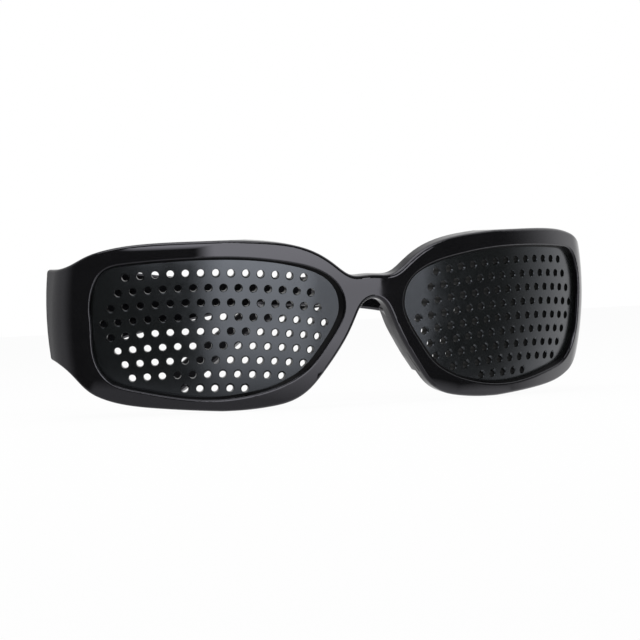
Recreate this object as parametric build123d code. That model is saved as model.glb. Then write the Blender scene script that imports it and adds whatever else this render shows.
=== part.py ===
"""Pinhole glasses: one moulded front, two perforated lenses and two folding temples on barrel hinges.

Millimetres, +Z up, the front faces -Y and the wearer's right is at -X. The origin is the nose saddle, the
middle of the arch under the bridge. Hinge axes are vertical and the front leans forward at the top.
"""

from build123d import *
import math
import os

# Front, seen from above: a straight run at the bridge, the lens curve, then a tight corner to the temples.
front_half_width = 68.9
curve_radius = 76.0
flat_half = 14.0
corner_radius = 15.0
endpiece_straight = 3.0
front_thickness = 4.2
tilt_angle = 7.5

# Front, seen from the side: every surface is crowned, and the lens lies behind a front lip.
crown_radius = curve_radius
lip_depth = 1.5
section_half_height = 26.0

# Front, seen from the front: levels above the middle row of holes.
bridge_top = 10.4
bridge_underside = 4.9
rim_top = 19.2
rim_bottom = -20.5
endpiece_top = 10.9
endpiece_bottom = -10.2
front_edge_round = 0.9
rear_edge_bevel = 0.4

# Lens opening in the rim, and the seat around it.
opening_centre = 35.5
opening_half_width = 27.9
opening_top = 15.2
opening_bottom = -17.6
opening_edge_round = 0.5
seat_depth = 0.9

# Lens plate and its holes.
lens_thickness = 1.6
lens_centre = 37.85
hole_radius = 0.85
hole_sides = 6
column_pitch = 3.5
row_pitch = 3.37
middle_row = 4.5
row_half_length = 26.25
row_drop = 2.1
row_counts = (13, 14, 15, 16, 15, 14, 13, 11, 5)
row_offset_shares = (0, 0, 0, 0, 0, 0, 0, 0.5, 0)

# Nose pads, moulded on the back of each rim at its nose side.
pad_top = 2.6
pad_bottom = -13.5
pad_start = 1.2
pad_depth = 6.4
pad_width = 2.1
pad_inset = 0.15
pad_splay = 3.0
pad_points = 5
pad_edge_round = 0.8

# Temple, from the hinge axis to the ear tip, in the plane that it folds in.
temple_thickness = front_thickness
temple_ear_thickness = 2.7
temple_length = 123.0
temple_bar_top = 6.4
temple_bar_bottom = -1.8
temple_narrow_at = 36.0
temple_taper_start = 12.0
temple_taper_end = 88.0
ear_bend_at = 86.0
ear_angle = 31.9
ear_width = 6.2
ear_straight_share = 0.68
root_rise_share = 0.25
temple_edge_round = 0.9
temple_inner_bevel = 0.5
joint_gap = 0.15

# Hinge: three barrels on one screw, with a leaf in the endpiece and a leaf in the temple.
barrel_radius = 1.3
barrel_clearance = 0.3
hinge_half_height = 2.5
middle_half_height = 0.8
barrel_gap = 0.05
leaf_thickness = 0.8
leaf_half_height = 2.1
frame_leaf_length = 6.0
temple_leaf_length = 8.0
screw_radius = 0.6
screw_clearance = 0.04
screw_head_radius = 1.15
screw_head_height = 0.5
screw_slot_width = 0.3
screw_slot_depth = 0.25
peg_radius = 0.55
peg_clearance = 0.05
peg_place_shares = (0.42, 0.78)

# How far each temple stands from folded flat in the resting pose.
right_fold_angle = 0.0
left_fold_angle = 61.0
open_angle = 90.0

# One overrun serves every cut.
overrun = 4.0

# Sizes that follow from those above.
path_half_width = front_half_width - lip_depth
corner_start = math.degrees(
    math.asin((path_half_width - flat_half - corner_radius) / (curve_radius - corner_radius))
)
corner_centre_x = path_half_width - corner_radius
corner_centre_y = curve_radius - (curve_radius - corner_radius) * math.cos(math.radians(corner_start))
joint_depth = corner_centre_y + endpiece_straight
back_offset = front_thickness - lip_depth
hinge_offset = barrel_radius + barrel_clearance
hinge_x = front_half_width - front_thickness - hinge_offset
saddle_depth = (back_offset - lip_depth) / 2
cos_tilt = math.cos(math.radians(tilt_angle))
sin_tilt = math.sin(math.radians(tilt_angle))
hinge_y = (joint_depth - saddle_depth) * cos_tilt + bridge_underside * sin_tilt
hinge_z = (joint_depth - saddle_depth) * sin_tilt - bridge_underside * cos_tilt
ear_rise = math.sin(math.radians(ear_angle))
ear_run = math.cos(math.radians(ear_angle))
lens_angle = math.degrees(math.asin((lens_centre - flat_half) / curve_radius))
shell_width = opening_centre + opening_half_width + overrun - flat_half
shell_angle = math.degrees(math.asin(shell_width / curve_radius))


def place_front(shape):
    """Move a shape from the front's own frame to the part's frame, tilted about the nose saddle."""
    return Rot(X=tilt_angle) * Pos(0, -saddle_depth, -bridge_underside) * shape


def between(low, high, share):
    """The level that lies a share of the way from low to high."""
    return low + (high - low) * share


def crowned_section(front, back):
    """Section of a crowned sheet between two offsets ahead of the lens, with its front towards -X."""
    top = section_half_height
    front_radius = crown_radius + front
    back_radius = crown_radius + back
    front_sag = front_radius - math.sqrt(front_radius**2 - top**2)
    back_sag = back_radius - math.sqrt(back_radius**2 - top**2)
    outline = Curve() + [
        ThreePointArc((-front + front_sag, -top), (-front, 0), (-front + front_sag, top)),
        Line((-front + front_sag, top), (-back + back_sag, top)),
        ThreePointArc((-back + back_sag, top), (-back, 0), (-back + back_sag, -top)),
        Line((-back + back_sag, -top), (-front + front_sag, -top)),
    ]
    return make_face(outline)


def front_sheet():
    """The crowned sheet that the front is cut from, swept along the curve of the front seen from above."""
    end_y = joint_depth + front_thickness + overrun
    path = Line((-path_half_width, end_y), (-path_half_width, corner_centre_y))
    path += CenterArc((-corner_centre_x, corner_centre_y), corner_radius, 180, 90 - corner_start)
    path += CenterArc((-flat_half, curve_radius), curve_radius, 270 - corner_start, corner_start)
    path += Line((-flat_half, 0), (flat_half, 0))
    path += CenterArc((flat_half, curve_radius), curve_radius, 270, corner_start)
    corner_centre = (corner_centre_x, corner_centre_y)
    path += CenterArc(corner_centre, corner_radius, 270 + corner_start, 90 - corner_start)
    path += Line((path_half_width, corner_centre_y), (path_half_width, end_y))
    section_plane = Plane(origin=(-path_half_width, end_y, 0), x_dir=(1, 0, 0), z_dir=(0, -1, 0))
    return sweep(section_plane * crowned_section(lip_depth, -back_offset), path=path)


def offset_ahead(point):
    """How far a point in the front's own frame lies ahead of the lens surface."""
    sag = point.Z**2 / (2 * crown_radius)
    across = abs(point.X)
    if across <= flat_half:
        return sag - point.Y
    if point.Y >= corner_centre_y:
        return across - path_half_width + sag
    turn = math.degrees(math.atan2(across - flat_half, curve_radius - point.Y))
    if turn <= corner_start:
        return math.hypot(across - flat_half, curve_radius - point.Y) - curve_radius + sag
    return math.hypot(across - corner_centre_x, point.Y - corner_centre_y) - corner_radius + sag


def closed_ring(upper, lower, end, plane):
    """A face between an upper and a lower spline, squared off at both ends in a plane."""
    first = (-end, upper[0][1])
    last = (end, upper[-1][1])
    edge = Line(first, upper[0])
    edge += Spline(*upper)
    edge += Polyline(upper[-1], last, (end, lower[0][1]), lower[0])
    edge += Spline(*lower)
    edge += Polyline(lower[-1], (-end, lower[-1][1]), first)
    return plane * make_face(edge)


def front_outline():
    """Outline of the front seen from the front: bridge, rims and nose arch."""
    top_shares = ((0.077, 0.01), (0.137, 0.31), (0.21, 0.66), (0.30, 0.875), (0.408, 0.972), (0.515, 1.01))
    top_shares += ((0.66, 1.07),)
    bottom_shares = ((0.66, -0.016), (0.558, -0.004), (0.467, 0.002), (0.356, 0.032), (0.276, 0.088))
    bottom_shares += ((0.223, 0.185), (0.183, 0.313), (0.137, 0.486), (0.089, 0.70), (0.062, 0.855))
    bottom_shares += ((0.035, 0.965),)
    width = front_half_width
    top = [(width * x, between(bridge_top, rim_top, rise)) for x, rise in top_shares]
    bottom = [(width * x, between(rim_bottom, bridge_underside, rise)) for x, rise in bottom_shares]
    upper = [(-x, z) for x, z in reversed(top)] + [(0, bridge_top)] + top
    lower = bottom + [(0, bridge_underside)] + [(-x, z) for x, z in reversed(bottom)]
    return closed_ring(upper, lower, width + overrun, Plane.XZ)


def side_outline():
    """Outline of the front seen from the side: how the rim falls to the endpiece round the corner."""
    top_shares = ((0.0, 1.066), (0.151, 1.0), (0.319, 0.93), (0.497, 0.76), (0.634, 0.485), (0.732, 0.24))
    top_shares += ((0.846, 0.085), (1.0, 0.0), (1.21, -0.11))
    bottom_shares = ((1.21, -0.076), (1.0, 0.0), (0.822, 0.081), (0.735, 0.22), (0.681, 0.39), (0.624, 0.60))
    bottom_shares += ((0.557, 0.762), (0.456, 0.886), (0.319, 0.952), (0.151, 1.01), (0.0, 1.057))
    top = [(joint_depth * y, between(endpiece_top, rim_top, rise)) for y, rise in top_shares]
    bottom = [(joint_depth * y, between(endpiece_bottom, rim_bottom, fall)) for y, fall in bottom_shares]
    edge = Line((-front_thickness, top[0][1]), top[0])
    edge += Spline(*top)
    edge += Line(top[-1], bottom[0])
    edge += Spline(*bottom)
    edge += Polyline(bottom[-1], (-front_thickness, bottom[-1][1]), (-front_thickness, top[0][1]))
    return Plane.YZ * make_face(edge)


def opening_outline(growth):
    """Outline of the left-hand opening (+X), grown outwards, as one face in the XZ plane."""
    shares = (
        (1.0, 0.07),
        (0.975, 0.55),
        (0.895, 0.80),
        (0.74, 0.895),
        (0.30, 0.985),
        (-0.12, 0.995),
        (-0.50, 0.915),
        (-0.80, 0.755),
        (-0.955, 0.52),
        (-1.0, 0.20),
        (-0.95, -0.06),
        (-0.84, -0.325),
        (-0.70, -0.60),
        (-0.55, -0.765),
        (-0.33, -0.90),
        (0.16, -1.0),
        (0.66, -0.89),
        (0.85, -0.785),
        (0.945, -0.58),
        (0.99, -0.23),
    )
    points = []
    for across, up in shares:
        level = opening_top + growth if up > 0 else growth - opening_bottom
        points.append((opening_centre + (opening_half_width + growth) * across, level * up))
    return Plane.XZ * make_face(Spline(*points, periodic=True))


def through(face, depth_from, depth_to):
    """Extrude an XZ outline along Y between two depths."""
    return Pos(0, depth_to, 0) * extrude(face, amount=depth_to - depth_from)


def lens_shell():
    """The crowned sheet of the left-hand lens (+X), turned about the centre of its curve."""
    section_plane = Plane(origin=(0, -curve_radius, 0), x_dir=(0, 1, 0), z_dir=(1, 0, 0))
    section = section_plane * crowned_section(0, -lens_thickness)
    sheet = revolve(section, axis=Axis.Z, revolution_arc=shell_angle + lens_angle)
    return Pos(flat_half, curve_radius, 0) * Rot(Z=-lens_angle) * sheet


def lens_blank(growth):
    """The left-hand lens (+X) without its holes, grown outwards from the opening."""
    return through(opening_outline(growth), -front_thickness, curve_radius / 2) & lens_shell()


def hole_pins():
    """Pins of every hole of the left-hand lens (+X), all along the lens's own axis."""
    places = []
    for row, count in enumerate(row_counts):
        level = (middle_row - 1 - row) * row_pitch
        for column in range(count):
            along = (column - (count - 1) / 2 + row_offset_shares[row]) * column_pitch
            drop = row_drop * (along / row_half_length) ** 2
            across = curve_radius * math.sin(along / curve_radius)
            places.append((across, level - drop))
    outline = RegularPolygon(radius=hole_radius, side_count=hole_sides, rotation=180 / hole_sides)
    pattern = Sketch() + [Pos(x, z) * outline for x, z in places]
    reach = curve_radius * (1 - math.cos(opening_half_width / curve_radius)) + lens_thickness + overrun
    pins = Plane.XZ * extrude(pattern, amount=reach, both=True)
    centre_y = curve_radius * (1 - math.cos(math.radians(lens_angle)))
    return Pos(lens_centre, centre_y, 0) * Rot(Z=lens_angle) * pins


def make_lens():
    """The left-hand lens (+X) in the part's frame."""
    return place_front(lens_blank(seat_depth) - hole_pins())


def nose_edge(level):
    """Distance of the rim's nose side from the middle plane at a level."""
    shares = ((0.145, 0.25), (0.185, 0.223), (0.313, 0.183), (0.486, 0.137), (0.70, 0.089), (0.855, 0.062))
    share = (level - rim_bottom) / (bridge_underside - rim_bottom)
    for (low, wide), (high, narrow) in zip(shares, shares[1:]):
        if share <= high:
            return front_half_width * between(wide, narrow, (share - low) / (high - low))
    return front_half_width * shares[-1][1]


def nose_pad():
    """The left-hand nose pad (+X): a round-ended bar on the rim, drawn back and splayed outwards."""
    half = pad_width / 2
    spine = []
    for index in range(pad_points):
        level = between(pad_top - half, pad_bottom + half, index / (pad_points - 1))
        spine.append(Vector(nose_edge(level) + pad_inset + half, level))
    near = []
    far = []
    headings = []
    for before, point, after in zip(spine[:1] + spine, spine, spine[1:] + spine[-1:]):
        heading = (after - before).normalized()
        side = Vector(-heading.Y, heading.X) * half
        near.append(point - side)
        far.append(point + side)
        headings.append(heading)
    first = headings[0]
    last = headings[-1]
    edge = Spline(*near, tangents=(first, last))
    edge += ThreePointArc(near[-1], spine[-1] + last * half, far[-1])
    edge += Spline(*reversed(far), tangents=(last * -1, first * -1))
    edge += ThreePointArc(far[0], spine[0] - first * half, near[0])
    lean = math.radians(pad_splay)
    reach = (pad_depth - pad_start) / math.cos(lean)
    bar = extrude(Plane.XZ * make_face(edge), amount=reach, dir=(math.sin(lean), math.cos(lean), 0))
    free_end = bar.faces().sort_by(Axis.Y)[-1]
    return Pos(0, pad_start, 0) * fillet(free_end.edges(), pad_edge_round)


def mirrored(shape):
    """The same shape on the wearer's right side (-X)."""
    return mirror(shape, about=Plane.YZ)


def on_hinge(shape):
    """Move a shape from the left hinge's frame to the part's frame."""
    return Pos(hinge_x, hinge_y, hinge_z) * shape


def upright(radius, low, high):
    """A cylinder on the hinge axis between two levels."""
    return Pos(0, 0, (low + high) / 2) * Cylinder(radius, high - low)


def block(x_from, x_to, y_from, y_to, z_from, z_to):
    """A box between two corners."""
    middle = ((x_from + x_to) / 2, (y_from + y_to) / 2, (z_from + z_to) / 2)
    return Pos(*middle) * Box(x_to - x_from, y_to - y_from, z_to - z_from)


def frame_leaf_plate():
    """Plate of the endpiece's hinge leaf in the hinge's frame."""
    outer = hinge_offset - barrel_clearance / 2
    return block(outer - leaf_thickness, outer, -frame_leaf_length, 0, -leaf_half_height, leaf_half_height)


def frame_leaf():
    """Hinge leaf of the endpiece in the hinge's frame: a plate and the two outer barrels."""
    inner = middle_half_height + barrel_gap
    leaf = frame_leaf_plate()
    leaf += upright(barrel_radius, inner, hinge_half_height)
    leaf += upright(barrel_radius, -hinge_half_height, -inner)
    leaf -= upright(barrel_radius + barrel_clearance / 2, -inner, inner)
    leaf -= upright(screw_radius + screw_clearance, 0, hinge_half_height + overrun)
    leaf -= upright(screw_radius, -hinge_half_height - overrun, 0)
    return leaf


def temple_leaf():
    """Hinge leaf of the temple in the hinge's frame, temple open: a plate, a neck and the middle barrel."""
    far = hinge_offset + leaf_thickness
    near = joint_gap * 2
    plate = block(hinge_offset, far, near, temple_leaf_length, -leaf_half_height, leaf_half_height)
    neck = block(0, far, near, near + leaf_thickness, -middle_half_height, middle_half_height)
    leaf = plate + neck + upright(barrel_radius, -middle_half_height, middle_half_height)
    leaf -= upright(screw_radius + screw_clearance, -hinge_half_height, hinge_half_height)
    for share in peg_place_shares:
        leaf -= peg(peg_radius + peg_clearance, share)
    return leaf


def peg(radius, share):
    """A peg through the temple's leaf, a share of the way along it."""
    place = Pos(hinge_offset + leaf_thickness / 2, temple_leaf_length * share, 0)
    return place * Rot(Y=90) * Cylinder(radius, leaf_thickness)


def hinge_screw():
    """Pivot screw with a slotted head on the top barrel."""
    head_top = hinge_half_height + screw_head_height
    half = screw_slot_width / 2
    slot_low = head_top - screw_slot_depth
    screw = upright(screw_radius, -hinge_half_height, hinge_half_height)
    screw += upright(screw_head_radius, hinge_half_height, head_top)
    return screw - block(-screw_head_radius, screw_head_radius, -half, half, slot_low, head_top + overrun)


def temple_side():
    """Outline of the temple in the YZ plane of the hinge's frame."""
    narrowing_top_shares = ((0.28, 0.87), (0.58, 0.55), (1.0, 0.16))
    narrowing_bottom_shares = ((0.33, 0.585), (0.62, 0.285), (1.0, 0.0))
    bar_top_shares = ((0.60, 1.0), (0.90, 0.95))
    bar_bottom_shares = ((0.90, 0.0),)
    root_top = endpiece_top * cos_tilt
    root_bottom = endpiece_bottom * cos_tilt
    tip_radius = ear_width / 2
    tip_y = temple_length - tip_radius
    bend_z = (temple_bar_top + temple_bar_bottom) / 2
    along = Vector(ear_run, -ear_rise)
    half = Vector(ear_rise, ear_run) * tip_radius
    tip = Vector(tip_y, bend_z - (tip_y - ear_bend_at) * ear_rise / ear_run)
    ear_start = tip - along * ((tip_y - ear_bend_at) * ear_straight_share / ear_run)
    top = [(joint_gap, root_top)]
    for y, z in narrowing_top_shares:
        top.append((temple_narrow_at * y, between(temple_bar_top, root_top, z)))
    for y, z in bar_top_shares:
        top.append((ear_bend_at * y, between(temple_bar_bottom, temple_bar_top, z)))
    bottom = [(joint_gap, root_bottom)]
    for y, z in narrowing_bottom_shares:
        bottom.append((temple_narrow_at * y, between(temple_bar_bottom, root_bottom, z)))
    for y, z in bar_bottom_shares:
        bottom.append((ear_bend_at * y, between(temple_bar_bottom, temple_bar_top, z)))
    ear_top = ear_start + half
    ear_bottom = ear_start - half
    edge = Line(top[0], bottom[0])
    edge += Spline(*top, (ear_top.X, ear_top.Y), tangents=((1, 0), (along.X, along.Y)))
    edge += Line(ear_top, tip + half)
    edge += ThreePointArc(tip + half, tip + along * tip_radius, tip - half)
    edge += Line(tip - half, ear_bottom)
    headings = ((1, root_rise_share), (along.X, along.Y))
    edge += Spline(*bottom, (ear_bottom.X, ear_bottom.Y), tangents=headings)
    return Plane.YZ * make_face(edge)


def temple_plan():
    """Outline of the temple seen from above, with a flat inner face and a tapered outer face."""
    inner = hinge_offset
    outer = inner + temple_thickness
    ear_outer = inner + temple_ear_thickness
    end = temple_length + overrun
    edge = Polyline((outer, 0), (inner, 0), (inner, end), (ear_outer, end), (ear_outer, temple_taper_end))
    edge += Spline((ear_outer, temple_taper_end), (outer, temple_taper_start), tangents=((0, -1), (0, -1)))
    edge += Line((outer, temple_taper_start), (outer, 0))
    return make_face(edge)


def long_edges(temple, inner):
    """The edges along the temple's outline, on its inner or its outer face, apart from those at the joint."""
    split = hinge_offset + temple_inner_bevel
    picked = []
    for edge in temple.edges():
        on_inner = (edge @ 0).X < split and (edge @ 1).X < split
        if on_inner == inner and edge.center().Y > joint_gap + temple_edge_round:
            picked.append(edge)
    return picked


def make_temple():
    """The left temple in its hinge's frame, open, with the pocket and pegs of its leaf."""
    side = extrude(temple_side(), amount=hinge_offset + temple_thickness + overrun)
    plan = Pos(0, 0, -temple_length) * extrude(temple_plan(), amount=2 * temple_length)
    temple = side & plan
    temple = fillet(long_edges(temple, inner=False), temple_edge_round)
    temple = chamfer(long_edges(temple, inner=True), temple_inner_bevel)
    near = hinge_offset - overrun
    far = hinge_offset + leaf_thickness
    temple -= block(near, far, 0, temple_leaf_length, -leaf_half_height, leaf_half_height)
    for share in peg_place_shares:
        temple += peg(peg_radius, share)
    return temple


def edges_at(front, low, high, joint_end):
    """The edges of the front whose offset ahead of the lens lies between two values."""
    picked = []
    for edge in front.edges():
        middle = edge @ 0.5
        if low < offset_ahead(middle) < high and middle.Y < joint_end:
            picked.append(edge)
    return picked


def opening_edges(front):
    """The front edges of both openings: those that lie on the opening's outline, ahead of the lens."""
    rim = opening_outline(0).face().outer_wire()
    picked = []
    for edge in front.edges():
        middle = edge @ 0.5
        above = Vertex(abs(middle.X), 0, middle.Z)
        if offset_ahead(middle) > lip_depth / 2 and rim.distance_to(above) < opening_edge_round / 10:
            picked.append(edge)
    return picked


def make_front():
    """The moulded front in the part's frame."""
    deep = joint_depth + front_thickness + overrun
    wide = front_half_width + overrun
    joint_end = deep - overrun / 2
    front = through(front_outline(), -front_thickness, deep) & front_sheet()
    front = front & extrude(side_outline(), amount=wide, both=True)
    front = fillet(edges_at(front, lip_depth / 2, lip_depth * 2, joint_end), front_edge_round)
    front = chamfer(edges_at(front, -back_offset * 2, -back_offset * 0.9, joint_end), rear_edge_bevel)
    opening = through(opening_outline(0), -front_thickness, curve_radius / 2)
    for shape in (opening, mirrored(opening)):
        front -= shape
    front = fillet(opening_edges(front), opening_edge_round)
    pad = nose_pad()
    for shape in (pad, mirrored(pad)):
        front += shape
    seat = lens_blank(seat_depth)
    for shape in (seat, mirrored(seat)):
        front -= shape
    front = place_front(front)
    front -= block(-wide, wide, hinge_y, hinge_y + curve_radius, -curve_radius, curve_radius)
    slot = on_hinge(frame_leaf_plate())
    for shape in (slot, mirrored(slot)):
        front -= shape
    return front


def turned(shape, fold_angle):
    """Turn a shape of the open left temple about the hinge axis to an angle from folded flat."""
    return Rot(Z=open_angle - fold_angle) * shape


def build():
    """Every node of the part, by name."""
    lens = make_lens()
    temple = make_temple()
    leaf = frame_leaf()
    folding_leaf = temple_leaf()
    screw = hinge_screw()
    return {
        "front_frame": make_front(),
        "pinhole_lens_left": lens,
        "pinhole_lens_right": mirrored(lens),
        "temple_left": on_hinge(turned(temple, left_fold_angle)),
        "temple_right": mirrored(on_hinge(turned(temple, right_fold_angle))),
        "hinge_frame_leaf_left": on_hinge(leaf),
        "hinge_frame_leaf_right": mirrored(on_hinge(leaf)),
        "hinge_temple_leaf_left": on_hinge(turned(folding_leaf, left_fold_angle)),
        "hinge_temple_leaf_right": mirrored(on_hinge(turned(folding_leaf, right_fold_angle))),
        "hinge_screw_left": on_hinge(screw),
        "hinge_screw_right": mirrored(on_hinge(screw)),
    }


os.makedirs("parts", exist_ok=True)
for name, solid in build().items():
    export_step(solid, f"parts/{name}.step")
    print(name, len(solid.solids()), "solids", round(solid.volume, 1), "mm3")
print("hinge axis", round(hinge_x, 3), round(hinge_y, 3), round(hinge_z, 3))
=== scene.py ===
"""Pinhole glasses: black moulded front, perforated lenses and folding temples, in a pale studio."""

import logging
import math
from contextlib import contextmanager
from dataclasses import dataclass, field
from enum import Enum
from typing import Iterator, Sequence

import bmesh
import bpy
from mathutils import Matrix, Vector
from mathutils.geometry import delaunay_2d_cdt


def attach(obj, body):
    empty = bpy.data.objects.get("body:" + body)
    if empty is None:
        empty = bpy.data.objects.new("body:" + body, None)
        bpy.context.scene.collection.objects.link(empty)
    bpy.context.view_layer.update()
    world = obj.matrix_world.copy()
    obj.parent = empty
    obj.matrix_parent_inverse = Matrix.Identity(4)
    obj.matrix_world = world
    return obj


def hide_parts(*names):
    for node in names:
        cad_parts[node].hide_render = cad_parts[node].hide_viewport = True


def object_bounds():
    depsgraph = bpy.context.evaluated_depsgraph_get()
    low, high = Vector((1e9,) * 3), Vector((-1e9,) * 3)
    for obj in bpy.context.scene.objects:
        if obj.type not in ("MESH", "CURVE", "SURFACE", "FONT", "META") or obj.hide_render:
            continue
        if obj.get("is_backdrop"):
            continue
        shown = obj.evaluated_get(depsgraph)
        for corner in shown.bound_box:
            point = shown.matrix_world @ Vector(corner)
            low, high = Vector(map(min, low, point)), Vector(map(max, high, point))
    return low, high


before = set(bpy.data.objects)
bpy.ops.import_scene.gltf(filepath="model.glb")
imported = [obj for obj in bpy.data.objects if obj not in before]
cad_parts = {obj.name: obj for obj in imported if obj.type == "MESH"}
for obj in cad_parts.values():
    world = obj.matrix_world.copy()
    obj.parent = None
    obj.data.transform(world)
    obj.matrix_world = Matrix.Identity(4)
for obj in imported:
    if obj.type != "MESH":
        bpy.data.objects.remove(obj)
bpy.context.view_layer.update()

MM = 0.001
DEGREE = math.radians(1.0)
TRIANGLES_INSIDE = 1
LOG = logging.getLogger("pinhole_glasses")

Pair = tuple[float, float]
Triple = tuple[float, float, float]
Socket = bpy.types.NodeSocket


class Body(Enum):
    """The rigid bodies that the pieces ride on."""

    FRONT = "front"
    LEFT_TEMPLE = "left_temple"
    RIGHT_TEMPLE = "right_temple"


class Side(Enum):
    """Which side of the wearer a piece is on, as the sign of X."""

    LEFT = 1
    RIGHT = -1

    @property
    def word(self) -> str:
        """The side's name in lower case."""
        return self.name.lower()

    @property
    def temple_body(self) -> Body:
        """The body of the temple on this side."""
        return Body.LEFT_TEMPLE if self is Side.LEFT else Body.RIGHT_TEMPLE


class NodeGraph:
    """Short calls for building a node tree."""

    def __init__(self, tree: bpy.types.NodeTree) -> None:
        """Start with an empty tree.

        Args:
            tree: The node tree to fill.
        """
        self.tree = tree
        self.tree.nodes.clear()

    def add(
        self, kind: str, feeds: dict[str | int, Socket] | None = None, **values: object
    ) -> bpy.types.Node:
        """Add a node, set its properties and link what feeds it.

        Args:
            kind: The node's type name.
            feeds: The sockets to link to its inputs, by the input's name or number.
            **values: Properties of the node.

        Returns:
            The new node.
        """
        node = self.tree.nodes.new(kind)
        for name, value in values.items():
            setattr(node, name, value)
        for name, source in (feeds or {}).items():
            self.join(source, node.inputs[name])
        return node

    def join(self, start: Socket, end: Socket) -> None:
        """Link one socket to another."""
        self.tree.links.new(start, end)

    def reckon(self, rule: str, *terms: Socket | float) -> Socket:
        """Add a sum or another rule of arithmetic.

        Args:
            rule: The Math node's operation.
            *terms: Sockets or plain numbers, in the node's order.

        Returns:
            The result's socket.
        """
        node = self.add("ShaderNodeMath", operation=rule)
        for socket, term in zip(node.inputs, terms):
            if isinstance(term, (int, float)):
                socket.default_value = term
            else:
                self.join(term, socket)
        return node.outputs["Value"]

    def ramp(
        self, value: Socket, span: Pair, results: Pair = (0.0, 1.0), soft: bool = False
    ) -> Socket:
        """Let one value follow another across a span and stay level outside it.

        Args:
            value: The value that is followed.
            span: Where the change starts and where it ends.
            results: The result at the start and at the end.
            soft: Whether the change eases in and out.

        Returns:
            The result's socket.
        """
        kind = "SMOOTHSTEP" if soft else "LINEAR"
        node = self.add("ShaderNodeMapRange", {"Value": value}, interpolation_type=kind)
        for end, at, result in zip(("Min", "Max"), span, results):
            node.inputs[f"From {end}"].default_value = at
            node.inputs[f"To {end}"].default_value = result
        return node.outputs["Result"]


@dataclass(frozen=True)
class Finish:
    """A surface finish made of one shader with a little mottling, grain and uneven polish."""

    name: str
    colour: Triple
    colour_far: Triple
    roughness: Pair
    specular: float = 0.5
    tint: Triple = (1.0, 1.0, 1.0)
    metallic: float = 0.0
    mottle_per_m: float = 120.0
    polish_per_m: float = 260.0
    polish_span: Pair = (0.35, 0.65)
    grain_per_m: float = 5200.0
    grain_height: float = 0.004 * MM
    noise_detail: float = 3.0
    stretch: Triple = (1.0, 1.0, 1.0)

    def material(self) -> bpy.types.Material:
        """Build the finish once and return it after that.

        Returns:
            The material.
        """
        found = bpy.data.materials.get(self.name)
        if found is not None:
            return found
        made = bpy.data.materials.new(self.name)
        made.use_nodes = True
        graph = NodeGraph(made.node_tree)
        place = self._place(graph)
        feeds = {
            "Base Color": self._mottling(graph, place),
            "Roughness": self._polish(graph, place),
            "Normal": self._grain(graph, place),
        }
        shader = graph.add("ShaderNodeBsdfPrincipled", feeds)
        shader.inputs["Metallic"].default_value = self.metallic
        shader.inputs["Specular IOR Level"].default_value = self.specular
        shader.inputs["Specular Tint"].default_value = (*self.tint, 1.0)
        graph.add("ShaderNodeOutputMaterial", {"Surface": shader.outputs["BSDF"]})
        return made

    def _place(self, graph: NodeGraph) -> Socket:
        """Object coordinates, stretched along the brushing.

        Args:
            graph: The material's graph.

        Returns:
            The vector socket that the textures read.
        """
        where = graph.add("ShaderNodeTexCoord")
        mapping = graph.add("ShaderNodeMapping", {"Vector": where.outputs["Object"]})
        mapping.inputs["Scale"].default_value = self.stretch
        return mapping.outputs["Vector"]

    def _noise(self, graph: NodeGraph, place: Socket, per_m: float) -> Socket:
        """A soft noise over the piece.

        Args:
            graph: The material's graph.
            place: Where the noise is read.
            per_m: Cells of the noise in a metre.

        Returns:
            The noise's value socket.
        """
        noise = graph.add("ShaderNodeTexNoise", {"Vector": place})
        noise.inputs["Scale"].default_value = per_m
        noise.inputs["Detail"].default_value = self.noise_detail
        return noise.outputs["Fac"]

    def _mottling(self, graph: NodeGraph, place: Socket) -> Socket:
        """The base colour, mottled between its two values.

        Args:
            graph: The material's graph.
            place: Where the noise is read.

        Returns:
            The colour socket.
        """
        noise = self._noise(graph, place, self.mottle_per_m)
        blend = graph.add("ShaderNodeValToRGB", {"Fac": noise})
        for stop, colour in zip(blend.color_ramp.elements, (self.colour, self.colour_far)):
            stop.color = (*colour, 1.0)
        return blend.outputs["Color"]

    def _polish(self, graph: NodeGraph, place: Socket) -> Socket:
        """The roughness, varied between its two values."""
        noise = self._noise(graph, place, self.polish_per_m)
        return graph.ramp(noise, self.polish_span, self.roughness)

    def _grain(self, graph: NodeGraph, place: Socket) -> Socket:
        """A fine raised grain.

        Args:
            graph: The material's graph.
            place: Where the noise is read.

        Returns:
            The normal socket.
        """
        noise = self._noise(graph, place, self.grain_per_m)
        bump = graph.add("ShaderNodeBump", {"Height": noise})
        bump.inputs["Distance"].default_value = self.grain_height
        return bump.outputs["Normal"]


POLISHED_BLACK = Finish(
    name="polished_black_plastic",
    colour=(0.0030, 0.0030, 0.0034),
    colour_far=(0.0060, 0.0060, 0.0066),
    roughness=(0.006, 0.016),
    specular=0.54,
    tint=(0.91, 0.90, 1.0),
    grain_per_m=150.0,
    grain_height=0.0004 * MM,
)
LENS_BLACK = Finish(
    name="semi_gloss_lens_black",
    colour=(0.0040, 0.0045, 0.0045),
    colour_far=(0.0070, 0.0082, 0.0078),
    roughness=(0.19, 0.24),
    specular=0.71,
    tint=(0.83, 0.885, 1.0),
    grain_height=0.006 * MM,
)
# Painted shade: a darker, duller copy of the frame's black for the rim's inner slope, so that the
# recess beside the lens stays dark.
STEP_BLACK_PAINTED_SHADE = Finish(
    name="matte_step_black",
    colour=(0.0028, 0.0028, 0.0032),
    colour_far=(0.0050, 0.0050, 0.0055),
    roughness=(0.35, 0.45),
    specular=0.12,
    grain_height=0.008 * MM,
)
# Painted shade: a darker, duller copy of the lens black for the hole walls, so that the holes stay
# dark as if in shade.
HOLE_WALL_PAINTED_SHADE = Finish(
    name="matte_hole_wall_black",
    colour=(0.0030, 0.0032, 0.0032),
    colour_far=(0.0050, 0.0054, 0.0053),
    roughness=(0.28, 0.36),
    specular=0.27,
    grain_height=0.010 * MM,
)
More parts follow.
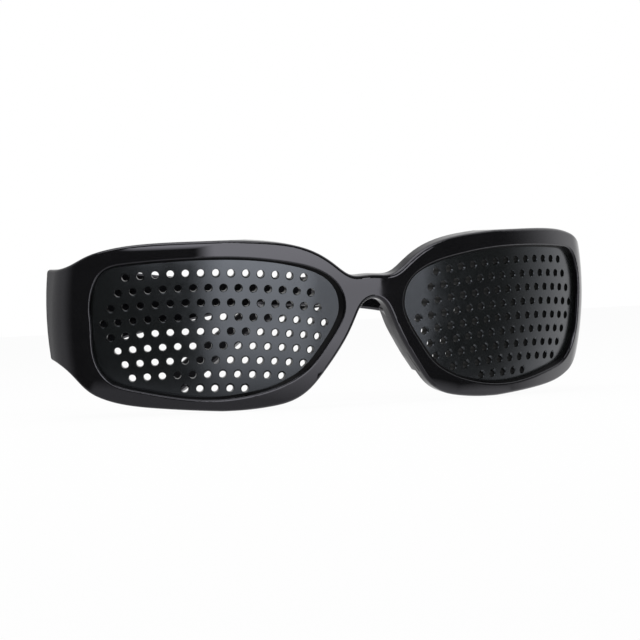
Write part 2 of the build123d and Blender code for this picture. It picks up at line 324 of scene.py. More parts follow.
SATIN_STEEL = Finish(
    name="satin_hinge_steel",
    colour=(0.50, 0.50, 0.51),
    colour_far=(0.60, 0.60, 0.60),
    roughness=(0.24, 0.38),
    metallic=1.0,
    mottle_per_m=900.0,
    polish_per_m=1500.0,
    grain_per_m=9000.0,
    stretch=(1.0, 1.0, 6.0),
)
SCREW_STEEL = Finish(
    name="polished_screw_steel",
    colour=(0.62, 0.62, 0.63),
    colour_far=(0.72, 0.72, 0.72),
    roughness=(0.10, 0.22),
    metallic=1.0,
    mottle_per_m=1200.0,
    polish_per_m=1800.0,
    grain_per_m=9000.0,
)


@contextmanager
def edited(mesh: bpy.types.Mesh) -> Iterator[bmesh.types.BMesh]:
    """Open a mesh for editing and write it back at the end.

    Args:
        mesh: The mesh.

    Returns:
        A manager that gives the mesh in its editable form.
    """
    work = bmesh.new()
    work.from_mesh(mesh)
    yield work
    work.to_mesh(mesh)
    work.free()


def merge_doubles(work: bmesh.types.BMesh, distance: float) -> None:
    """Merge the points that lie together and drop what has no size after that.

    Args:
        work: The mesh being edited.
        distance: How far apart such points may be, in metres.
    """
    bmesh.ops.remove_doubles(work, verts=work.verts, dist=distance)
    bmesh.ops.dissolve_degenerate(work, edges=work.edges, dist=distance)


def shade_by_angle(work: bmesh.types.BMesh, limit: float) -> None:
    """Shade a mesh smooth, apart from edges sharper than an angle.

    Args:
        work: The mesh being edited.
        limit: The sharpest angle that is still smoothed, in radians.
    """
    for face in work.faces:
        face.smooth = True
    for edge in work.edges:
        edge.smooth = len(edge.link_faces) == 2 and edge.calc_face_angle(0.0) < limit


def drop_empty_slots(mesh: bpy.types.Mesh) -> None:
    """Take out the material slots that hold nothing, which a cut adds and no face uses.

    Args:
        mesh: The mesh.
    """
    for index in reversed(range(len(mesh.materials))):
        if mesh.materials[index] is None:
            mesh.materials.pop(index=index)


def add_object(name: str, mesh: bpy.types.Mesh) -> bpy.types.Object:
    """Link a new object that shows a mesh.

    Args:
        name: The object's name.
        mesh: What it shows.

    Returns:
        The new object.
    """
    made = bpy.data.objects.new(name, mesh)
    bpy.context.scene.collection.objects.link(made)
    return made


def place_piece(piece: bpy.types.Object, body: Body, nodes: Sequence[str]) -> None:
    """Let a piece ride on a body in the place of some nodes.

    Args:
        piece: The piece.
        body: The body that it moves with.
        nodes: The nodes that it stands for.
    """
    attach(piece, body.value)
    if nodes:
        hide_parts(*nodes)


@dataclass(frozen=True)
class FrontForm:
    """The curve and lean of the front, which the lenses follow. Lengths are in metres."""

    half_width: float = 68.9 * MM
    curve_radius: float = 76.0 * MM
    crown_radius: float = 76.0 * MM
    corner_radius: float = 15.0 * MM
    flat_half: float = 14.0 * MM
    lip_depth: float = 1.5 * MM
    thickness: float = 4.2 * MM
    saddle_depth: float = 0.6 * MM
    saddle_height: float = 4.9 * MM
    tilt: float = 7.5 * DEGREE
    skin_reach: float = 0.02 * MM
    skin_lean: float = 32.0 * DEGREE

    def placed(self) -> Matrix:
        """The move from the front's own frame to the part's frame: a tilt about the saddle."""
        shift = Matrix.Translation((0.0, -self.saddle_depth, -self.saddle_height))
        return Matrix.Rotation(self.tilt, 4, "X") @ shift

    def mount(self, mesh: bpy.types.Mesh, side: Side, own: Matrix) -> None:
        """Put a mesh that was made for the left side in the front, mirrored for the right side.

        Args:
            mesh: The mesh.
            side: The side that it is for.
            own: The move from the mesh's own frame to the front's.
        """
        mirror = Matrix.Diagonal((float(side.value), 1.0, 1.0, 1.0))
        mesh.transform(self.placed() @ mirror @ own)
        if side is Side.RIGHT:
            mesh.flip_normals()

    def skin_depth(self, across: float, up: float, behind: float) -> float:
        """Depth of a layer of the lens below its front skin.

        Args:
            across: Distance from the middle plane.
            up: Height above the middle row of holes.
            behind: How far the layer lies behind the front skin.

        Returns:
            The layer's Y in the front's own frame.
        """
        crown = self.crown_radius - behind
        radius = self.curve_radius - behind - crown + math.sqrt(crown**2 - up**2)
        return self.curve_radius - math.sqrt(radius**2 - max(across - self.flat_half, 0.0) ** 2)

    def facing(self, point: Vector) -> tuple[Vector, float]:
        """Which way the crowned surface through a point faces.

        Args:
            point: A point in the front's own frame.

        Returns:
            The outward direction, and how far the point lies ahead of the lens's front skin.
        """
        across = abs(point.x)
        path_half = self.half_width - self.lip_depth
        corner_x = path_half - self.corner_radius
        inner = self.curve_radius - self.corner_radius
        start = math.asin((corner_x - self.flat_half) / inner)
        corner_y = self.curve_radius - inner * math.cos(start)
        spoke = Vector((across - self.flat_half, point.y - self.curve_radius, 0.0))
        if across <= self.flat_half:
            away, reach = Vector((0.0, -1.0, 0.0)), -point.y
        elif math.atan2(spoke.x, -spoke.y) <= start:
            away, reach = spoke.normalized(), spoke.length - self.curve_radius
        elif point.y < corner_y:
            spoke = Vector((across - corner_x, point.y - corner_y, 0.0))
            away, reach = spoke.normalized(), spoke.length - self.corner_radius
        else:
            away, reach = Vector((1.0, 0.0, 0.0)), across - path_half
        away.x = math.copysign(away.x, point.x)
        out = away * (self.crown_radius + reach) + Vector((0.0, 0.0, point.z))
        return out.normalized(), out.length - self.crown_radius

    def smooth_skins(self, mesh: bpy.types.Mesh, outer: float, inner: float) -> None:
        """Set the shading normals of two crowned skins from their form, not from their triangles.

        Args:
            mesh: A mesh in the part's frame.
            outer: How far the skin that faces outwards lies ahead of the lens's front skin.
            inner: The same for the skin that faces the wearer.
        """
        placed = self.placed()
        back, turn = placed.inverted(), placed.to_3x3()
        wanted: list[Vector | None] = []
        for vertex in mesh.vertices:
            out, ahead = self.facing(back @ vertex.co)
            if abs(ahead - outer) < self.skin_reach:
                wanted.append(turn @ out)
            elif abs(ahead - inner) < self.skin_reach:
                wanted.append(-(turn @ out))
            else:
                wanted.append(None)
        normals = [corner.vector.copy() for corner in mesh.corner_normals]
        limit = math.cos(self.skin_lean)
        for face in mesh.polygons:
            for loop, vertex in zip(face.loop_indices, face.vertices):
                if wanted[vertex] is not None and wanted[vertex].dot(face.normal) > limit:
                    normals[loop] = wanted[vertex]
        mesh.normals_split_custom_set(normals)


@dataclass
class MouldedCopy:
    """A smoothly shaded copy of a rigid node, dressed in a finish. Lengths are in metres."""

    node: str
    body: Body
    slot: str
    finish: Finish
    crease: float = 34.0 * DEGREE
    weld: float = 0.0005 * MM
    form: FrontForm | None = None

    def build(self) -> bpy.types.Object:
        """Copy the node's mesh, weld it, shade it and put it in the node's place.

        Returns:
            The finished piece.
        """
        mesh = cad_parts[self.node].data.copy()
        mesh.name = f"{self.node}_skin"
        with edited(mesh) as work:
            merge_doubles(work, self.weld)
            shade_by_angle(work, self.crease)
        if self.form is not None:
            outer = self.form.lip_depth
            self.form.smooth_skins(mesh, outer, outer - self.form.thickness)
        mesh.materials.clear()
        mesh.materials.append(self.finish.material())
        piece = add_object(f"{self.node}_skin", mesh)
        place_piece(piece, self.body, [self.node])
        return piece


def smooth_between(
    before: Vector, start: Vector, end: Vector, after: Vector, share: float
) -> Vector:
    """A point on a smooth curve between two of its knots.

    Args:
        before: The knot before the start.
        start: The knot at share 0.
        end: The knot at share 1.
        after: The knot after the end.
        share: How far along.

    Returns:
        The point.
    """
    leaving = (end - before) / 2
    arriving = (after - start) / 2
    square, cube = share**2, share**3
    return (
        start * (2 * cube - 3 * square + 1)
        + leaving * (cube - 2 * square + share)
        + end * (3 * square - 2 * cube)
        + arriving * (cube - square)
    )


@dataclass(frozen=True)
class OpeningOutline:
    """The outline of one lens opening, seen from the front. Lengths are in metres."""

    centre: float = 35.5 * MM
    half_width: float = 27.9 * MM
    top: float = 15.2 * MM
    bottom: float = 17.6 * MM
    steps: int = 8
    shares: tuple[Pair, ...] = (
        (1.0, 0.07),
        (0.975, 0.55),
        (0.895, 0.80),
        (0.74, 0.895),
        (0.30, 0.985),
        (-0.12, 0.995),
        (-0.50, 0.915),
        (-0.80, 0.755),
        (-0.955, 0.52),
        (-1.0, 0.20),
        (-0.95, -0.06),
        (-0.84, -0.325),
        (-0.70, -0.60),
        (-0.55, -0.765),
        (-0.33, -0.90),
        (0.16, -1.0),
        (0.66, -0.89),
        (0.85, -0.785),
        (0.945, -0.58),
        (0.99, -0.23),
    )

    def points(self, growth: float) -> list[Vector]:
        """The outline as a smooth closed run of points across and up.

        Args:
            growth: How far it is grown outwards.

        Returns:
            Points in the front's own frame.
        """
        knots = []
        for across, up in self.shares:
            reach = (self.top if up > 0 else self.bottom) + growth
            knots.append(Vector((self.centre + (self.half_width + growth) * across, reach * up)))
        points = []
        count = len(knots)
        for index in range(count):
            near = [knots[(index + step) % count] for step in (-1, 0, 1, 2)]
            for step in range(self.steps):
                points.append(smooth_between(*near, step / self.steps))
        return points


@dataclass
class RimSlope:
    """The sloping inner wall of a rim, wide beside the nose and on top. Lengths are in metres."""

    side: Side
    form: FrontForm = field(default_factory=FrontForm)
    opening: OpeningOutline = field(default_factory=OpeningOutline)
    # The slope stands for the rim's inner wall; its darker, duller black is painted shade of the
    # recess.
    finish: Finish = STEP_BLACK_PAINTED_SHADE
    crease: float = 24.0 * DEGREE
    least: float = 0.10 * MM
    nose_width: float = 1.0 * MM
    top_width: float = 0.45 * MM
    bottom_width: float = 0.25 * MM
    foot: float = 0.8 * MM
    buried: float = 0.06 * MM

    def build(self) -> bpy.types.Object:
        """Make the slope as a closed wedge that runs round the opening.

        Returns:
            The finished piece.
        """
        mesh = bpy.data.meshes.new(f"rim_slope_{self.side.word}")
        with edited(mesh) as work:
            self._run_wedge(work)
            bmesh.ops.recalc_face_normals(work, faces=work.faces)
            shade_by_angle(work, self.crease)
        self.form.mount(mesh, self.side, Matrix.Identity(4))
        mesh.materials.append(self.finish.material())
        piece = add_object(mesh.name, mesh)
        place_piece(piece, Body.FRONT, [])
        return piece

    def _run_wedge(self, work: bmesh.types.BMesh) -> None:
        """Set a ring of three corners at every point of the outline and join each to the next.

        Args:
            work: The empty mesh that takes the wedge.
        """
        outline = self.opening.points(0.0)
        rings = []
        for index, point in enumerate(outline):
            along = outline[(index + 1) % len(outline)] - outline[index - 1]
            out = Vector((along.y, -along.x)).normalized()
            if out.dot(point - Vector((self.opening.centre, 0.0))) < 0:
                out.negate()
            wall, toe = point + out * self.buried, point - out * self._width(out)
            rings.append([work.verts.new(corner) for corner in self._corners(wall, toe)])
        for ring, after in zip(rings, rings[1:] + rings[:1]):
            for corners in zip(ring, after, after[1:] + after[:1], ring[1:] + ring[:1]):
                work.faces.new(corners)

    def _width(self, out: Vector) -> float:
        """How far the slope reaches into the opening.

        Args:
            out: The direction, across and up, from the opening to its wall.

        Returns:
            The reach.
        """
        nose = max(-out.x, 0.0)
        level = self.top_width * max(out.y, 0.0) + self.bottom_width * max(-out.y, 0.0)
        return max(self.nose_width * nose, self.least) + level * (1.0 - nose)

    def _corners(self, wall: Vector, toe: Vector) -> list[Vector]:
        """The wedge's three corners at one place: on the wall, on the lens and behind both."""
        places = ((wall, -self.foot), (toe, self.buried), (wall, self.buried))
        return [Vector((at.x, self.form.skin_depth(*at, behind), at.y)) for at, behind in places]


@dataclass
class PinholeLens:
    """An opaque lens plate, perforated by straight holes in rows. Lengths are in metres.

    Every hole runs towards an upright line that stands aim_depth behind the lens's centre, and
    falls by aim_drop on the way there.
    """

    side: Side
    form: FrontForm = field(default_factory=FrontForm)
    opening: OpeningOutline = field(default_factory=OpeningOutline)
    finish: Finish = LENS_BLACK
    # The hole walls wear painted shade: a darker, duller copy of the lens black.
    wall_finish: Finish = HOLE_WALL_PAINTED_SHADE
    thickness: float = 2.2 * MM
    aim_depth: float = 152.0 * MM
    aim_drop: float = 6.6 * MM
    centre: float = 37.85 * MM
    seat_depth: float = 0.9 * MM
    grid: float = 1.7 * MM
    hole_radius: float = 0.85 * MM
    rim_flare: float = 0.16 * MM
    hole_sides: int = 28
    same_place: float = 1e-7
    weld: float = 0.001 * MM
    crease: float = 28.0 * DEGREE
    column_pitch: float = 3.5 * MM
    row_pitch: float = 3.37 * MM
    middle_row: float = 4.5
    row_half_length: float = 26.25 * MM
    row_drop: float = 2.1 * MM
    row_counts: tuple[int, ...] = (13, 14, 15, 16, 15, 14, 13, 11, 5)
    row_offset_shares: tuple[float, ...] = (0, 0, 0, 0, 0, 0, 0, 0.5, 0)

    @property
    def node(self) -> str:
        """The node that the lens stands for."""
        return f"pinhole_lens_{self.side.word}"

    @property
    def turn(self) -> float:
        """How far the lens's own axis is turned outwards."""
        return math.asin((self.centre - self.form.flat_half) / self.form.curve_radius)

    @property
    def centre_depth(self) -> float:
        """How far the lens's centre lies behind the middle of the front."""
        return self.form.curve_radius * (1.0 - math.cos(self.turn))

    def build(self) -> bpy.types.Object:
        """Make the plate, cut its holes and put it in the front.

        Returns:
            The finished lens.
        """
        plate = add_object(f"{self.node}_plate", self._plate_mesh())
        centres = add_object(f"{self.node}_centres", self._centres_mesh())
        mesh = PinholeDrill(self).cut(centres, plate)
        for helper in (centres, plate):
            bpy.data.objects.remove(helper)
        shift = Matrix.Translation((self.centre, self.centre_depth, 0.0))
        self.form.mount(mesh, self.side, shift @ Matrix.Rotation(self.turn, 4, "Z"))
        self._finish_shading(mesh)
        piece = add_object(f"{self.node}_skin", mesh)
        place_piece(piece, Body.FRONT, [self.node])
        return piece

    def _own(self, at: Vector, behind: float) -> Vector:
        """A point of one layer of the plate in the lens's own frame.

        Args:
            at: Distance from the middle plane, and height above the middle row.
            behind: How far the layer lies behind the front skin.

        Returns:
            The point, with Y along the lens's own axis.
        """
        depth = self.form.skin_depth(*at, behind)
        away = Vector((at.x - self.centre, depth - self.centre_depth, at.y))
        return Matrix.Rotation(-self.turn, 3, "Z") @ away

    def _plate_mesh(self) -> bpy.types.Mesh:
        """Make the plate without holes in the lens's own frame.

        Returns:
            A closed mesh with an even grid on both skins.
        """
        outline = self.opening.points(self.seat_depth)
        inside = [point for point in self._grid_points() if covers(outline, point, self.grid / 2)]
        rim = [(index, (index + 1) % len(outline)) for index in range(len(outline))]
        flat = delaunay_2d_cdt(outline + inside, rim, [], TRIANGLES_INSIDE, self.same_place)
        places, faces = flat[0], flat[2]
        mesh = bpy.data.meshes.new(f"{self.node}_plate")
        with edited(mesh) as work:
            front = [work.verts.new(self._own(at, 0.0)) for at in places]
            back = [work.verts.new(self._own(at, self.thickness)) for at in places]
            for face in faces:
                work.faces.new([front[index] for index in face])
                work.faces.new([back[index] for index in reversed(face)])
            behind = dict(zip(front, back))
            for start, end in [tuple(edge.verts) for edge in work.edges if edge.is_boundary]:
                if start in behind:
                    work.faces.new([start, end, behind[end], behind[start]])
            bmesh.ops.recalc_face_normals(work, faces=work.faces)
        return mesh

    def _grid_points(self) -> Iterator[Vector]:
        """Points of a square grid over the outline's box.

        Returns:
            The points, one after another.
        """
        columns = math.ceil(self.opening.half_width / self.grid)
        rows = math.ceil(max(self.opening.top, self.opening.bottom) / self.grid)
        for column in range(-columns, columns + 1):
            for row in range(-rows, rows + 1):
                yield Vector((self.opening.centre + column * self.grid, row * self.grid))

    def _centres_mesh(self) -> bpy.types.Mesh:
        """The centre of every hole on the front skin, in the lens's own frame.

        Returns:
            A mesh of single vertices.
        """
        points = []
        radius = self.form.curve_radius
        for row, count in enumerate(self.row_counts):
            level = (self.middle_row - 1 - row) * self.row_pitch
            for column in range(count):
                place = column - (count - 1) / 2 + self.row_offset_shares[row]
                along = place * self.column_pitch
                up = level - self.row_drop * (along / self.row_half_length) ** 2
                sag = self.form.crown_radius - math.sqrt(self.form.crown_radius**2 - up**2)
                across = radius * math.sin(along / radius)
                points.append((across, sag + radius - math.sqrt(radius**2 - across**2), up))
        mesh = bpy.data.meshes.new(f"{self.node}_centres")
        mesh.from_pydata(points, [], [])
        return mesh

    def _finish_shading(self, mesh: bpy.types.Mesh) -> None:
        """Close what the cutting left open, smooth skins and walls and keep hole edges crisp.

        Args:
            mesh: The cut plate in the part's frame.
        """
        with edited(mesh) as work:
            merge_doubles(work, self.weld)
            idle = [vertex for vertex in work.verts if len(vertex.link_edges) == 2]
            bmesh.ops.dissolve_verts(work, verts=idle)
            bmesh.ops.triangulate(work, faces=work.faces)
            shade_by_angle(work, self.crease)
        self.form.smooth_skins(mesh, 0.0, -self.thickness)


def covers(outline: list[Vector], point: Vector, margin: float) -> bool:
    """Whether a point lies inside an outline and clear of it.

    Args:
        outline: The closed outline.
        point: The point.
        margin: The least distance to the outline's points.

    Returns:
        True where the point is inside by the margin.
    """
    inside = False
    for start, end in zip(outline, outline[1:] + outline[:1]):
        if (point - start).length < margin:
            return False
        if (start.y > point.y) != (end.y > point.y):
            crossing = start.x + (point.y - start.y) * (end.x - start.x) / (end.y - start.y)
            inside = inside != (point.x < crossing)
    return inside


@dataclass
class PinholeDrill:
    """Geometry nodes that set a flared cutter on every hole centre and cut them from a plate.

    The cone's sizes are given in flares, and the pin's reach in hole radii.
    """

    lens: PinholeLens
    pin_reach: float = 12.0
    cone_spread: float = 4.0
    cone_height: float = 8.0
    cone_drop: float = 5.0
    wall_limit: float = 0.45

    def cut(self, centres: bpy.types.Object, plate: bpy.types.Object) -> bpy.types.Mesh:
        """Run the tree on the hole centres and return the cut plate.

        Args:
            centres: The object whose vertices are the hole centres.
            plate: The plate without holes.

        Returns:
            A plain mesh.
        """
        tree = self._tree()
        modifier = centres.modifiers.new("drill", "NODES")
        modifier.node_group = tree
        values = {
            "Plate": plate,
            "Hole radius": self.lens.hole_radius,
            "Flare": self.lens.rim_flare,
            "Reach": self.pin_reach * self.lens.hole_radius,
            "Aim depth": self.lens.aim_depth,
            "Aim drop": self.lens.aim_drop,
            "Sides": self.lens.hole_sides,
            "Finish": self.lens.finish.material(),
            "Wall finish": self.lens.wall_finish.material(),
        }
        for item in tree.interface.items_tree:
            if item.in_out == "INPUT" and item.name in values:
                modifier[item.identifier] = values[item.name]
        graph = bpy.context.evaluated_depsgraph_get()
        mesh = bpy.data.meshes.new_from_object(centres.evaluated_get(graph), depsgraph=graph)
        centres.modifiers.remove(modifier)
        drop_empty_slots(mesh)
        return mesh

    def _tree(self) -> bpy.types.NodeTree:
        """Build the tree.

        Returns:
            The geometry node tree.
        """
        tree = bpy.data.node_groups.new("pinhole_drill", "GeometryNodeTree")
        kinds = {
            "Geometry": ("Geometry",),
            "Object": ("Plate",),
            "Float": ("Hole radius", "Flare", "Reach", "Aim depth", "Aim drop"),
            "Int": ("Sides",),
            "Material": ("Finish", "Wall finish"),
        }
        for kind, names in kinds.items():
            for name in names:
                tree.interface.new_socket(name, in_out="INPUT", socket_type=f"NodeSocket{kind}")
        tree.interface.new_socket("Geometry", in_out="OUTPUT", socket_type="NodeSocketGeometry")
        graph = NodeGraph(tree)
        given = graph.add("NodeGroupInput").outputs
        away = self._away(graph, given)
        aim = graph.add("FunctionNodeAlignRotationToVector", {"Vector": away}, axis="Z")
        cutters = {
            "Points": given["Geometry"],
            "Instance": self._cutter(graph, given),
            "Rotation": aim.outputs["Rotation"],
        }
        spread = graph.add("GeometryNodeInstanceOnPoints", cutters).outputs["Instances"]
        real = graph.add("GeometryNodeRealizeInstances", {"Geometry": spread})
        plate = graph.add("GeometryNodeObjectInfo", {"Object": given["Plate"]})
        meshes = {"Mesh 1": plate.outputs["Geometry"], "Mesh 2": real.outputs["Geometry"]}
        cut = graph.add(
            "GeometryNodeMeshBoolean", meshes, operation="DIFFERENCE", solver="MANIFOLD"
        )
        whole = graph.add("GeometryNodeRealizeInstances", {"Geometry": cut.outputs["Mesh"]})
        skins = {"Geometry": whole.outputs["Geometry"], "Material": given["Finish"]}
        dressed = graph.add("GeometryNodeSetMaterial", skins).outputs["Geometry"]
        # The hole walls take the painted-shade copy of the lens black.
        walls = {
            "Geometry": dressed,
            "Selection": self._on_walls(graph, away),
            "Material": given["Wall finish"],
        }
        done = graph.add("GeometryNodeSetMaterial", walls)
        graph.add("NodeGroupOutput", {"Geometry": done.outputs["Geometry"]})
        return tree

    def _away(self, graph: NodeGraph, given: bpy.types.NodeOutputs) -> Socket:
        """The way from the upright line far behind the lens that every hole runs towards.

        Args:
            graph: The tree's graph.
            given: The tree's inputs.

        Returns:
            The vector socket, at full length.
        """
        place = graph.add("GeometryNodeInputPosition").outputs["Position"]
        level = graph.add("ShaderNodeVectorMath", {0: place}, operation="MULTIPLY")
        level.inputs[1].default_value = (1.0, 1.0, 0.0)
        low = graph.reckon("MULTIPLY", given["Aim drop"], -1.0)
        target = graph.add("ShaderNodeCombineXYZ", {"Y": given["Aim depth"], "Z": low})
        ends = {0: level.outputs["Vector"], 1: target.outputs["Vector"]}
        return graph.add("ShaderNodeVectorMath", ends, operation="SUBTRACT").outputs["Vector"]

    def _on_walls(self, graph: NodeGraph, away: Socket) -> Socket:
        """Which faces run along a hole.

        Args:
            graph: The tree's graph.
            away: The holes' direction.

        Returns:
            The selection socket.
        """
        unit = graph.add("ShaderNodeVectorMath", {0: away}, operation="NORMALIZE")
        facing = graph.add("GeometryNodeInputNormal")
        pair = {0: unit.outputs["Vector"], 1: facing.outputs["Normal"]}
        along = graph.add("ShaderNodeVectorMath", pair, operation="DOT_PRODUCT").outputs["Value"]
        return graph.reckon("LESS_THAN", graph.reckon("ABSOLUTE", along), self.wall_limit)

    def _cutter(self, graph: NodeGraph, given: bpy.types.NodeOutputs) -> Socket:
        """One cutter: a straight pin under a wider cone that eases the edge of the hole.

        Args:
            graph: The tree's graph.
            given: The tree's inputs.

        Returns:
            The cutter's geometry socket.
        """
        sides, radius, flare = given["Sides"], given["Hole radius"], given["Flare"]
        sizes = {"Vertices": sides, "Radius": radius, "Depth": given["Reach"]}
        pin = graph.add("GeometryNodeMeshCylinder", sizes, fill_type="NGON")
        sizes = {
            "Vertices": sides,
            "Radius Top": graph.reckon("MULTIPLY_ADD", flare, self.cone_spread, radius),
            "Radius Bottom": graph.reckon("MULTIPLY_ADD", flare, -self.cone_spread, radius),
            "Depth": graph.reckon("MULTIPLY", flare, self.cone_height),
        }
        cone = graph.add("GeometryNodeMeshCone", sizes, fill_type="NGON")
        low = graph.reckon("MULTIPLY", flare, -self.cone_drop)
        shift = graph.add("ShaderNodeCombineXYZ", {"Z": low}).outputs["Vector"]
        place = {"Geometry": cone.outputs["Mesh"], "Translation": shift}
        moved = graph.add("GeometryNodeTransform", place)
        both = graph.add("GeometryNodeMeshBoolean", operation="UNION", solver="EXACT")
        graph.join(pin.outputs["Mesh"], both.inputs["Mesh 2"])
        graph.join(moved.outputs["Geometry"], both.inputs["Mesh 2"])
        return both.outputs["Mesh"]


@dataclass
class Hinges:
    """The leaves and screws of both hinges."""

    def build(self) -> list[bpy.types.Object]:
        """Dress both sides.

        Returns:
            The finished pieces.
        """
        made = []
        for side in Side:
            for node, body, slot, finish in (
                (f"hinge_frame_leaf_{side.word}", Body.FRONT, "hinge", SATIN_STEEL),
                (f"hinge_temple_leaf_{side.word}", side.temple_body, "hinge", SATIN_STEEL),
                (f"hinge_screw_{side.word}", Body.FRONT, "screw", SCREW_STEEL),
            ):
                made.append(MouldedCopy(node, body, slot, finish).build())
        return made


@dataclass(frozen=True)
class Surroundings:
    """How bright the studio is in each direction.

    Bearings run from straight ahead of the glasses to +X, in radians. A height is the upward
    part of a direction of length 1. A radiance of 1 is white, and shares multiply the box's.
    """

    box_left: Pair = (-21.0 * DEGREE, -12.5 * DEGREE)
    box_right: Pair = (25.48 * DEGREE, 25.52 * DEGREE)
    box_lean: float = 12.8 * DEGREE
    box_radiance: float = 3.4
    box_low: Pair = (-0.68, -0.34)
    box_low_shares: Pair = (0.15, 1.0)
    box_rise: Pair = (-0.10, 0.20)
    box_rise_shares: Pair = (0.84, 1.12)
    box_top: Pair = (0.42, 0.58)
    shelf_left: Pair = (-50.0 * DEGREE, -42.0 * DEGREE)
    shelf_heights: Pair = (0.221, 0.240)
    room_radiance: float = 0.06
    right_bearings: Pair = (60.0 * DEGREE, 99.0 * DEGREE)
    right_radiance: float = 1.05
    left_bearings: Pair = (-125.0 * DEGREE, -98.0 * DEGREE)
    left_radiance: float = 0.5
    rear_bearings: Pair = (135.0 * DEGREE, 180.0 * DEGREE)
    ground_heights: Pair = (-0.61, -0.66)
    ground_radiance: float = 0.58
    ground_across: Pair = (-0.8, -0.4)
    ground_lift: Pair = (0.12, 0.0)
    table_bearings: Pair = (24.0 * DEGREE, 34.0 * DEGREE)
    table_heights: Pair = (-0.545, -0.585)
    table_radiance: float = 0.95
    table_across: Pair = (50.0 * DEGREE, 77.0 * DEGREE)
    table_lift: Pair = (0.0, 0.10)

    def radiance(self, graph: NodeGraph) -> Socket:
        """Build the brightness by direction.

        Args:
            graph: The world's graph.

        Returns:
            The brightness socket, where 1 is white.
        """
        where = graph.add("ShaderNodeTexCoord").outputs["Generated"]
        split = graph.add("ShaderNodeSeparateXYZ", {"Vector": where}).outputs
        height = split["Z"]
        bearing = graph.reckon("ARCTAN2", split["X"], graph.reckon("MULTIPLY", split["Y"], -1.0))
        lift = graph.ramp(split["X"], self.ground_across, self.ground_lift)
        sunk = graph.reckon("SUBTRACT", height, lift)
        ground = graph.ramp(sunk, self.ground_heights, (0.0, self.ground_radiance))
        lift = graph.ramp(bearing, self.table_across, self.table_lift)
        sunk = graph.reckon("SUBTRACT", height, lift)
        table = graph.ramp(sunk, self.table_heights, (0.0, self.table_radiance))
        table = graph.reckon("MULTIPLY", table, graph.ramp(bearing, self.table_bearings))
        brightest = self._walls(graph, bearing)
        for part in (ground, table, self._box(graph, bearing, height)):
            brightest = graph.reckon("MAXIMUM", brightest, part)
        return brightest

    def _walls(self, graph: NodeGraph, bearing: Socket) -> Socket:
        """The dim room in front and the pale walls beside and behind.

        Args:
            graph: The world's graph.
            bearing: The bearing of the direction.

        Returns:
            The brightness socket.
        """
        dim = self.room_radiance
        right = graph.ramp(bearing, self.right_bearings, (dim, self.right_radiance), soft=True)
        left = graph.ramp(bearing, self.left_bearings, (self.left_radiance, dim), soft=True)
        share = self.left_radiance / self.right_radiance
        fade = graph.ramp(bearing, self.rear_bearings, (1.0, share))
        return graph.reckon("MAXIMUM", graph.reckon("MULTIPLY", right, fade), left)

    def _box(self, graph: NodeGraph, bearing: Socket, height: Socket) -> Socket:
        """The bright soft box in front, slightly to the wearer's left, with a shelf above it.

        Args:
            graph: The world's graph.
            bearing: The bearing of the direction.
            height: The height of the direction.

        Returns:
            The brightness socket.
        """
        below = graph.ramp(height, (-1.0, 0.0), (1.0, 0.0))
        lean = graph.reckon("MULTIPLY", graph.reckon("MULTIPLY", below, below), self.box_lean)
        leaning = graph.reckon("SUBTRACT", bearing, lean)
        near = graph.ramp(bearing, self.box_left, soft=True)
        far = graph.ramp(bearing, self.shelf_left, soft=True)
        above = graph.ramp(height, self.shelf_heights)
        shares = (
            graph.reckon("MAXIMUM", near, graph.reckon("MULTIPLY", far, above)),
            graph.ramp(leaning, self.box_right, (1.0, 0.0), soft=True),
            graph.ramp(height, self.box_low, self.box_low_shares),
            graph.ramp(height, self.box_rise, self.box_rise_shares, soft=True),
            graph.ramp(height, self.box_top, (1.0, 0.0), soft=True),
        )
        bright: Socket | float = self.box_radiance
        for share in shares:
            bright = graph.reckon("MULTIPLY", bright, share)
        return bright


@dataclass(frozen=True)
class SoftPanel:
    """A soft panel of light that faces the object. A radiance of 1 is white."""

    name: str = "top_panel"
    place: Triple = (-0.15, -0.10, 0.95)
    size: Pair = (0.90, 0.70)
    radiance: float = 2.4

    def hang(self) -> None:
        """Hang the panel in its place."""
        lamp = bpy.data.lights.new(self.name, "AREA")
        lamp.shape = "RECTANGLE"
        lamp.size, lamp.size_y = self.size
        lamp.energy = self.radiance * math.pi * self.size[0] * self.size[1]
        holder = bpy.data.objects.new(self.name, lamp)
        holder.location = self.place
        holder.rotation_euler = (-Vector(self.place)).to_track_quat("-Z", "Y").to_euler()
        bpy.context.scene.collection.objects.link(holder)


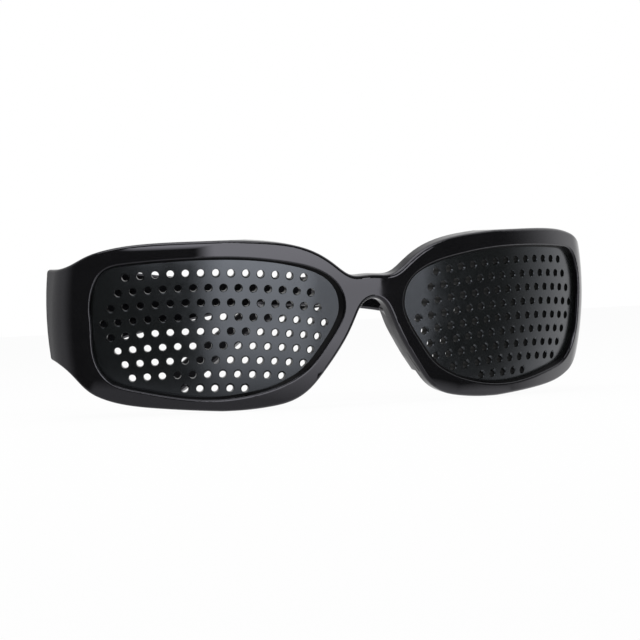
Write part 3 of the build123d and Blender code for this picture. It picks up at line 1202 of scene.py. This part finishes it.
@dataclass
class Studio:
    """Pale floor, white surroundings, a soft panel and the camera. Lengths are in metres."""

    surroundings: Surroundings = field(default_factory=Surroundings)
    panel: SoftPanel = field(default_factory=SoftPanel)
    floor_half: float = 3.0
    floor_colour: Triple = (0.95, 0.95, 0.95)
    floor_glow: float = 0.94
    camera_target: Triple = (-11.772 * MM, 3.348 * MM, -4.643 * MM)
    camera_distance: float = 900.0 * MM
    camera_azimuth: float = 24.567 * DEGREE
    camera_drop: float = 0.3226 * DEGREE
    camera_roll: float = -2.707 * DEGREE
    focal_mm: float = 217.67
    sensor_mm: float = 36.0

    def build(self) -> None:
        """Set up the whole studio."""
        self._floor()
        self._world()
        self.panel.hang()
        self._camera()
        bpy.context.scene.view_settings.view_transform = "Standard"

    def _floor(self) -> None:
        """Lay a pale floor under the lowest point."""
        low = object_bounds()[0][2]
        half = self.floor_half
        mesh = bpy.data.meshes.new("floor")
        corners = [(-half, -half, low), (half, -half, low), (half, half, low), (-half, half, low)]
        mesh.from_pydata(corners, [], [(0, 1, 2, 3)])
        mesh.materials.append(self._floor_material())
        floor = add_object("floor", mesh)
        floor.visible_glossy = False
        floor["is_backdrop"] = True

    def _floor_material(self) -> bpy.types.Material:
        """A pale matte floor that looks white to the camera and keeps the shadow.

        Returns:
            The material.
        """
        made = bpy.data.materials.new("pale_floor")
        made.use_nodes = True
        graph = NodeGraph(made.node_tree)
        matte = graph.add("ShaderNodeBsdfDiffuse")
        matte.inputs["Color"].default_value = (*self.floor_colour, 1.0)
        glow = graph.add("ShaderNodeEmission")
        seen = graph.add("ShaderNodeLightPath").outputs["Is Camera Ray"]
        share = graph.reckon("MULTIPLY", seen, self.floor_glow)
        shaders = {"Fac": share, 1: matte.outputs["BSDF"], 2: glow.outputs["Emission"]}
        mix = graph.add("ShaderNodeMixShader", shaders)
        graph.add("ShaderNodeOutputMaterial", {"Surface": mix.outputs["Shader"]})
        return made

    def _world(self) -> None:
        """White to the camera, and around the object the tones of a plain studio."""
        world = bpy.data.worlds.new("studio")
        bpy.context.scene.world = world
        world.use_nodes = True
        graph = NodeGraph(world.node_tree)
        seen = graph.add("ShaderNodeLightPath").outputs["Is Camera Ray"]
        tones = self.surroundings.radiance(graph)
        strength = graph.reckon("MAXIMUM", seen, tones)
        sky = graph.add("ShaderNodeBackground", {"Strength": strength})
        sky.inputs["Color"].default_value = (1.0, 1.0, 1.0, 1.0)
        graph.add("ShaderNodeOutputWorld", {"Surface": sky.outputs["Background"]})

    def _camera(self) -> None:
        """Stand the camera where the photograph was taken from."""
        azimuth, drop, roll = self.camera_azimuth, self.camera_drop, self.camera_roll
        level = Vector((math.cos(azimuth), -math.sin(azimuth), 0.0))
        flat = math.cos(drop)
        ahead = Vector((math.sin(azimuth) * flat, math.cos(azimuth) * flat, -math.sin(drop)))
        above = level.cross(ahead)
        right = level * math.cos(roll) + above * math.sin(roll)
        up = above * math.cos(roll) - level * math.sin(roll)
        lens = bpy.data.cameras.new("camera")
        lens.sensor_width = self.sensor_mm
        lens.lens = self.focal_mm
        camera = bpy.data.objects.new("camera", lens)
        place = Vector(self.camera_target) - ahead * self.camera_distance
        turn = Matrix((right, up, -ahead)).transposed().to_4x4()
        camera.matrix_world = Matrix.Translation(place) @ turn
        bpy.context.scene.collection.objects.link(camera)
        bpy.context.scene.camera = camera


def main() -> None:
    """Build every piece in order, report each one and set up the studio."""
    logging.basicConfig(level=logging.INFO, format="%(name)s: %(message)s")
    front = MouldedCopy("front_frame", Body.FRONT, "frame", POLISHED_BLACK, form=FrontForm())
    pieces = [front.build()]
    for side in Side:
        temple = MouldedCopy(f"temple_{side.word}", side.temple_body, "frame", POLISHED_BLACK)
        pieces += [part.build() for part in (RimSlope(side), PinholeLens(side), temple)]
    pieces += Hinges().build()
    Studio().build()
    for piece in pieces:
        finish = piece.data.materials[0].name
        LOG.info("%s: %d faces in %s", piece.name, len(piece.data.polygons), finish)


if __name__ == "__main__":
    main()
